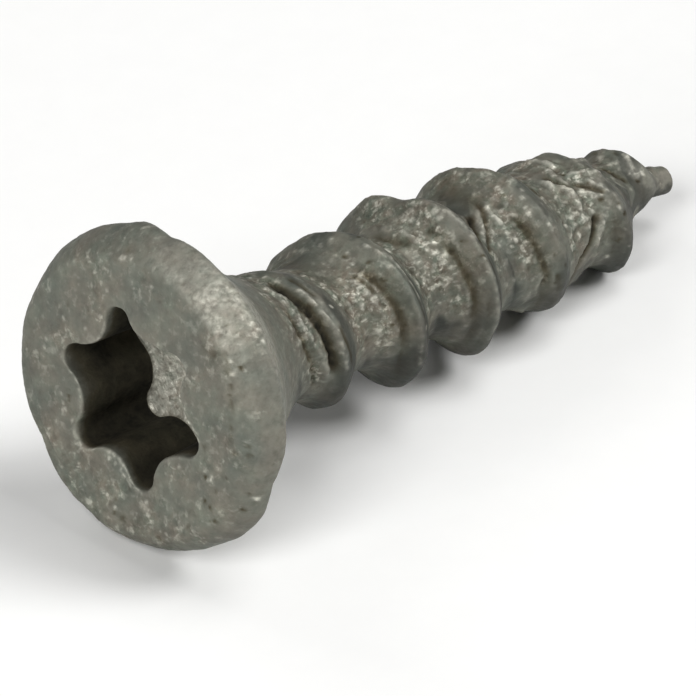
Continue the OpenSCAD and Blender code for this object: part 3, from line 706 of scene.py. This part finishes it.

# ---------------------------------------------------------------- hollow and proud places: dirt and painted shade in hollows, lighter proud edges
nv = len(V)
acc = np.zeros((nv, 3))
cnt = np.zeros(nv)
for c, d in ((0, 1), (1, 2), (2, 0)):
    np.add.at(acc, tris[:, c], V[tris[:, d]])
    np.add.at(cnt, tris[:, c], 1)
    np.add.at(acc, tris[:, d], V[tris[:, c]])
    np.add.at(cnt, tris[:, d], 1)
mean = acc / cnt[:, None]
step = np.zeros(nv)
for c, d in ((0, 1), (1, 2), (2, 0)):
    np.add.at(step, tris[:, c], np.linalg.norm(V[tris[:, c]] - V[tris[:, d]], axis=1) * 2)
step /= cnt
curve = ((mean - V) * N).sum(1) / np.maximum(step, 1e-6) ** 2
for _ in range(2):
    s = np.zeros(nv)
    for c, d in ((0, 1), (1, 2), (2, 0)):
        np.add.at(s, tris[:, c], curve[tris[:, d]])
        np.add.at(s, tris[:, d], curve[tris[:, c]])
    curve = 0.4 * curve + 0.6 * s / cnt
hollow = np.clip(curve * 0.35, -1, 1)
hollow[off_n - 6 * NS:off_n + len(nub_rows) * NS] *= 0.3
hollow[:nh] *= 1 - 0.85 * (kind >= 4) * bump_at(turn_gap(ph, 250), 0, 55)

dirt_and_shade = np.zeros(nv)
dirt_and_shade[:nh] = dirt_and_shade_h
dirt_and_shade[off_b:off_n] = dirt_and_shade_b.reshape(-1)
highlight_paint = np.zeros(nv)
highlight_paint[:nh] = highlight_paint_h
highlight_paint[off_b:off_n] = highlight_paint_b.reshape(-1)
sand = np.zeros(nv)
sand[:nh] = sandy_h
sand[off_b:off_n] = sandy_b.reshape(-1)
sand[off_n:] = 0.15
highlight_paint[off_n:] = 0.0
sand[i_floor] = 1.0
dirt_and_shade = np.clip(dirt_and_shade, 0, 1)

# ---------------------------------------------------------------- to Blender
mesh = bpy.data.meshes.new("wood_screw")
W = place(V)
faces = [tuple(int(x) for x in t) for t in np.concatenate([fan_floor, fan_tip, join])[:, ::(-1 if tris[0, 0] != fan_floor[0, 0] else 1)]]
faces += [tuple(int(x) for x in q) for q in quads]
mesh.from_pydata([tuple(p) for p in W.tolist()], [], faces)
mesh.update()
mesh.validate()
mesh.shade_smooth()
look = mesh.attributes.new("look", "FLOAT_COLOR", "POINT")
col = np.ones((nv, 4), np.float32)
# look: red is dirt and painted shade, green is sand, blue is hollows, alpha is painted highlights
col[:, 0] = dirt_and_shade
col[:, 1] = sand
col[:, 2] = 0.5 + 0.5 * hollow
col[:, 3] = np.clip(highlight_paint, 0, 1)
look.data.foreach_set("color", col.reshape(-1))
screw = bpy.data.objects.new("wood_screw", mesh)
bpy.context.scene.collection.objects.link(screw)
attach(screw, "root")
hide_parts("screw")


# ---------------------------------------------------------------- materials
def node(tree, kind_, where=(0, 0), **sets):
    n = tree.nodes.new(kind_)
    n.location = where
    for k_, v_ in sets.items():
        setattr(n, k_, v_)
    return n


def mix_color(tree, fac, a, b, mode="MIX"):
    n = node(tree, "ShaderNodeMix", data_type="RGBA", blend_type=mode, clamp_factor=True)
    ins = [s for s in n.inputs if s.enabled]
    for sock, val in zip(ins, (fac, a, b)):
        if hasattr(val, "is_output"):
            tree.links.new(val, sock)
        else:
            sock.default_value = val
    return [s for s in n.outputs if s.enabled][0]


def calc(tree, op, a, b=None, c=None, clamp=False):
    n = node(tree, "ShaderNodeMath", operation=op, use_clamp=clamp)
    for sock, val in zip(n.inputs, (a, b, c)):
        if val is None:
            continue
        if hasattr(val, "is_output"):
            tree.links.new(val, sock)
        else:
            sock.default_value = val
    return n.outputs[0]


def span(tree, val, lo, hi, to_lo=0.0, to_hi=1.0):
    n = node(tree, "ShaderNodeMapRange", clamp=True)
    tree.links.new(val, n.inputs["Value"])
    for name, v in (("From Min", lo), ("From Max", hi), ("To Min", to_lo), ("To Max", to_hi)):
        n.inputs[name].default_value = v
    return n.outputs["Result"]


def noise_tex(tree, vec, scale, detail=2.0, rough=0.5, out="Fac", bend=0.0):
    n = node(tree, "ShaderNodeTexNoise", noise_dimensions="3D")
    n.inputs["Scale"].default_value = scale
    n.inputs["Detail"].default_value = detail
    n.inputs["Roughness"].default_value = rough
    n.inputs["Distortion"].default_value = bend
    tree.links.new(vec, n.inputs["Vector"])
    return n.outputs[out]


def shifted(tree, vec, by):
    n = node(tree, "ShaderNodeVectorMath", operation="ADD")
    tree.links.new(vec, n.inputs[0])
    n.inputs[1].default_value = by
    return n.outputs[0]


def steel_material():
    m = bpy.data.materials.new("dull_coated_steel")
    m.use_nodes = True
    t = m.node_tree
    t.nodes.clear()
    out = node(t, "ShaderNodeOutputMaterial")
    bsdf = node(t, "ShaderNodeBsdfPrincipled")
    t.links.new(bsdf.outputs[0], out.inputs["Surface"])
    coord = node(t, "ShaderNodeTexCoord").outputs["Object"]
    mm = node(t, "ShaderNodeMapping")
    mm.inputs["Scale"].default_value = (1000, 1000, 1000)
    t.links.new(coord, mm.inputs["Vector"])
    mm = mm.outputs[0]
    att = node(t, "ShaderNodeAttribute", attribute_name="look", attribute_type="GEOMETRY")
    sep = node(t, "ShaderNodeSeparateColor")
    t.links.new(att.outputs["Color"], sep.inputs[0])
    # channels: dirt and painted shade, sand, hollows; alpha is painted highlights
    dirt_and_shade_, sand_, hollow_ = sep.outputs[0], sep.outputs[1], sep.outputs[2]
    highlight_paint_ = att.outputs["Alpha"]

    blotch = noise_tex(t, mm, 0.8, 3, 0.55)
    hue = noise_tex(t, shifted(t, mm, (3.1, 8.2, 6.4)), 1.1, 3, 0.50)
    # grains are drawn out along the screw
    drawn = node(t, "ShaderNodeVectorMath", operation="MULTIPLY")
    t.links.new(mm, drawn.inputs[0])
    drawn.inputs[1].default_value = (0.80, 1.0, 1.0)
    drawn = drawn.outputs[0]
    mottle = noise_tex(t, shifted(t, mm, (7.3, 1.1, 4.2)), 3.2, 3, 0.60)
    grain = noise_tex(t, shifted(t, drawn, (2.3, 9.1, 5.7)), 6.6, 2.4, 0.60)
    fleck = noise_tex(t, shifted(t, mm, (5.3, 3.1, 8.7)), 15.0, 2, 0.5)
    crumb = noise_tex(t, shifted(t, drawn, (9.2, 4.4, 1.6)), 4.4, 2.4, 0.58, bend=0.2)

    # colour: darkest on the smooth, sheltered lower side, partly painted shade; middle grey where the coat is smooth,
    # lighter where it is sandy
    low_shaded_c = mix_color(t, span(t, blotch, 0.36, 0.64), (0.0425, 0.0460, 0.0398, 1), (0.0575, 0.0592, 0.0513, 1))
    smooth_c = mix_color(t, span(t, blotch, 0.36, 0.64), (0.121, 0.125, 0.107, 1), (0.155, 0.154, 0.128, 1))
    sandy_c = mix_color(t, span(t, blotch, 0.36, 0.64), (0.134, 0.137, 0.115, 1), (0.168, 0.165, 0.136, 1))
    tone = mix_color(t, span(t, sand_, 0.0, 0.14), low_shaded_c, smooth_c)
    tone = mix_color(t, span(t, sand_, 0.14, 0.8), tone, sandy_c)
    tint = mix_color(t, span(t, hue, 0.38, 0.62), (0.965, 1.005, 0.985, 1), (1.04, 0.99, 0.965, 1))
    tone = mix_color(t, 1.0, tone, tint, "MULTIPLY")
    hue2 = noise_tex(t, shifted(t, mm, (6.1, 2.2, 7.4)), 3.6, 2, 0.50)
    tint2 = mix_color(t, span(t, hue2, 0.38, 0.62), (0.92, 1.03, 0.97, 1), (1.09, 0.98, 0.93, 1))
    tone = mix_color(t, calc(t, "MULTIPLY", sand_, 0.8), tone, mix_color(t, 1.0, tone, tint2, "MULTIPLY"))
    level = calc(t, "MULTIPLY_ADD", span(t, mottle, 0.30, 0.70, -0.26, 0.26), span(t, sand_, 0.15, 0.40, 0.55, 1.0), 1.0)
    scaled = node(t, "ShaderNodeVectorMath", operation="SCALE")
    t.links.new(tone, scaled.inputs[0])
    t.links.new(level, scaled.inputs["Scale"])
    base = scaled.outputs[0]

    # painted glints as light crumbs, and dark crumbs of dirt, between the even grains, only where the coat is sandy
    heap = span(t, mottle, 0.38, 0.56, 0.35, 1.0)
    up = calc(t, "MULTIPLY", calc(t, "MULTIPLY", span(t, crumb, 0.545, 0.68), heap), sand_)
    fine = calc(t, "MULTIPLY", calc(t, "MULTIPLY", span(t, grain, 0.575, 0.70), heap), calc(t, "POWER", sand_, 1.7))
    down = calc(t, "MULTIPLY", span(t, crumb, 0.44, 0.30), sand_)
    ragged = span(t, grain, 0.36, 0.62, 0.45, 1.25)
    glint = calc(t, "MULTIPLY", highlight_paint_, ragged, clamp=True)
    glint = calc(t, "MAXIMUM", glint, calc(t, "MULTIPLY", up, 0.85))
    glint = calc(t, "MAXIMUM", glint, calc(t, "MULTIPLY", fine, 0.50))
    base = mix_color(t, calc(t, "MULTIPLY", down, 0.50), base, (0.072, 0.067, 0.051, 1))
    height = calc(t, "MULTIPLY_ADD", crumb, 1.3, calc(t, "MULTIPLY", grain, 0.8))
    dark = calc(t, "MULTIPLY", span(t, grain, 0.42, 0.30), calc(t, "MULTIPLY_ADD", sand_, 0.50, 0.05))
    base = mix_color(t, dark, base, (0.075, 0.070, 0.054, 1))
    # dirt and painted shade in hollows, lighter proud edges
    base = mix_color(t, span(t, hollow_, 0.58, 0.85, 0.0, 0.55), base, (0.062, 0.054, 0.038, 1))
    proud_lighter = calc(t, "MULTIPLY", span(t, hollow_, 0.42, 0.20), calc(t, "MULTIPLY_ADD", sand_, 0.32, 0.05))
    base = mix_color(t, proud_lighter, base, (0.40, 0.39, 0.34, 1))
    # painted glints and highlights: a pale metal colour mixed into the base
    base = mix_color(t, calc(t, "MULTIPLY", glint, 0.80), base, (0.70, 0.685, 0.59, 1))
    # dirt and painted shade: browner, then nearly black as in the recess walls
    stain_and_shade = calc(t, "MULTIPLY", dirt_and_shade_, span(t, grain, 0.30, 0.55, 1.07, 0.95), clamp=True)
    dirty_and_shaded = mix_color(t, 1.0, base, (0.50, 0.45, 0.35, 1), "MULTIPLY")
    base = mix_color(t, span(t, stain_and_shade, 0.0, 0.5), base, mix_color(t, 0.35, dirty_and_shaded, (0.070, 0.060, 0.040, 1)))
    base = mix_color(t, span(t, stain_and_shade, 0.5, 0.95), base, (0.015, 0.014, 0.010, 1))
    t.links.new(base, bsdf.inputs["Base Color"])

    rough = span(t, grain, 0.3, 0.7, 0.66, 0.50)
    rough = calc(t, "SUBTRACT", rough, calc(t, "MULTIPLY", glint, 0.12))
    rough2 = calc(t, "ADD", rough, span(t, dirt_and_shade_, 0.0, 1.0, 0.0, 0.30), clamp=True)
    t.links.new(rough2, bsdf.inputs["Roughness"])
    bsdf.inputs["Metallic"].default_value = 0.35
    bsdf.inputs["Specular IOR Level"].default_value = 0.4
    bsdf.inputs["Specular Tint"].default_value = (0.55, 0.55, 0.55, 1)

    # relief: sandy grains, then the finer tooth
    amount = calc(t, "MULTIPLY_ADD", sand_, 0.95, 0.05)
    b1 = node(t, "ShaderNodeBump")
    b1.inputs["Strength"].default_value = 1.0
    b1.inputs["Distance"].default_value = 0.000041
    t.links.new(calc(t, "MULTIPLY", height, amount), b1.inputs["Height"])
    b2 = node(t, "ShaderNodeBump")
    b2.inputs["Strength"].default_value = 0.7
    b2.inputs["Distance"].default_value = 0.000032
    t.links.new(calc(t, "MULTIPLY_ADD", fleck, calc(t, "MULTIPLY", sand_, 0.30), mottle), b2.inputs["Height"])
    t.links.new(b1.outputs[0], b2.inputs["Normal"])
    t.links.new(b2.outputs[0], bsdf.inputs["Normal"])
    return m


def floor_material():
    m = bpy.data.materials.new("pale_floor")
    m.use_nodes = True
    t = m.node_tree
    bsdf = t.nodes["Principled BSDF"]
    coord = node(t, "ShaderNodeTexCoord").outputs["Object"]
    n = noise_tex(t, coord, 900.0, 4, 0.6)
    t.links.new(mix_color(t, n, (0.86, 0.86, 0.85, 1), (0.89, 0.89, 0.88, 1)), bsdf.inputs["Base Color"])
    bsdf.inputs["Roughness"].default_value = 0.85
    bsdf.inputs["Specular IOR Level"].default_value = 0.2
    # far from the lamps the floor glows, painted light that keeps it evenly pale
    far = node(t, "ShaderNodeVectorMath", operation="LENGTH")
    t.links.new(coord, far.inputs[0])
    far = far.outputs["Value"]
    floor_glow = calc(t, "ADD", span(t, far, 0.035, 0.14, 0.0, 0.30), span(t, far, 0.14, 0.50, 0.0, 0.36))
    bsdf.inputs["Emission Color"].default_value = (1.0, 1.0, 0.99, 1)
    t.links.new(floor_glow, bsdf.inputs["Emission Strength"])
    return m


mesh.materials.append(steel_material())

fm = bpy.data.meshes.new("studio_floor")
S = 6.0
fm.from_pydata([(-S, -S, 0), (S, -S, 0), (S, S, 0), (-S, S, 0)], [], [(0, 1, 2, 3)])
fm.materials.append(floor_material())
floor = bpy.data.objects.new("studio_floor", fm)
bpy.context.scene.collection.objects.link(floor)

# ---------------------------------------------------------------- light
world = bpy.data.worlds.new("soft_room")
bpy.context.scene.world = world
world.use_nodes = True
bg = world.node_tree.nodes["Background"]
bg.inputs[0].default_value = (1.0, 1.0, 1.0, 1)
bg.inputs[1].default_value = 0.07

from mathutils import Matrix, Vector


def softbox(name, az, el, dist, size, power, color=(1, 1, 1)):
    d = Vector((math.cos(math.radians(el)) * math.cos(math.radians(az)),
                math.cos(math.radians(el)) * math.sin(math.radians(az)), math.sin(math.radians(el))))
    l = bpy.data.lights.new(name, "AREA")
    l.shape = "DISK"
    l.size = size
    l.energy = power
    l.color = color
    o = bpy.data.objects.new(name, l)
    o.location = d * dist + Vector((0, 0, 0.003))
    o.rotation_euler = d.to_track_quat("Z", "Y").to_euler()
    bpy.context.scene.collection.objects.link(o)
    o.visible_camera = False
    return o


softbox("key", -52, 44, 0.5, 0.20, 1.40)
softbox("front", -180, 16, 0.5, 0.20, 0.92)
softbox("camera_side", -160, 42, 0.5, 0.22, 1.25)
softbox("top", -30, 70, 0.5, 0.24, 0.60)
softbox("rear", 80, 40, 0.5, 0.24, 0.30)

# ---------------------------------------------------------------- camera, from the photograph
U0, V0, PX, TH, AL = 130.353, 398.530, 170.5516, 0.830716, -0.393893
LENS = 1000.0                                   # nearly parallel, as the photograph is
PERSP = PX * 36 / 696 / LENS
SIDE = math.radians(129.3063)                   # which way round the screw the floor lies
R0 = HEAD_R                                     # one head radius is PX pixels in the photograph
a0 = np.array([math.sin(TH) * math.cos(AL), math.sin(TH) * math.sin(AL), math.cos(TH)])
c0 = np.array([0, 0, -1.0])
e0 = c0 - a0 * (a0 @ c0); e0 /= np.linalg.norm(e0)
f0 = np.cross(a0, e0)
ray = np.array([(U0 - 348) / PX * PERSP, (V0 - 348) / PX * PERSP, 1.0]); ray /= np.linalg.norm(ray)
v = np.cross([0, 0, 1.0], ray)
K = np.array([[0, -v[2], v[1]], [v[2], 0, -v[0]], [-v[1], v[0], 0]])
RR = np.eye(3) + K + K @ K / (1 + ray[2])
ax, ex, fx = RR @ a0, RR @ e0, RR @ f0
xl = ex * math.cos(SIDE) + fx * math.sin(SIDE)
yl = -ex * math.sin(SIDE) + fx * math.cos(SIDE)
zl = ax
sL, cL = math.sin(LIE), math.cos(LIE)
cols = np.stack([-sL * xl + cL * zl, yl, -cL * xl - sL * zl])     # world axes in camera (right, down, forward)
right, up, back = cols[:, 0], -cols[:, 1], -cols[:, 2]
X0, Y0, Z0 = (U0 - 348) / PX * R0, (V0 - 348) / PX * R0, R0 / PERSP
origin = np.array([TX, 0, DROP])
loc = origin - (X0 * right - Y0 * up - Z0 * back)
cam_data = bpy.data.cameras.new("photo_camera")
cam_data.sensor_width = 36
cam_data.lens = LENS
cam_data.clip_start = 0.05
cam_data.clip_end = 100
cam = bpy.data.objects.new("photo_camera", cam_data)
cam.matrix_world = Matrix(((right[0], up[0], back[0], loc[0] / 1000),
                           (right[1], up[1], back[1], loc[1] / 1000),
                           (right[2], up[2], back[2], loc[2] / 1000),
                           (0, 0, 0, 1)))
bpy.context.scene.collection.objects.link(cam)
bpy.context.scene.camera = cam
bpy.context.scene.view_settings.view_transform = "Standard"
bpy.context.scene.view_settings.look = "None"
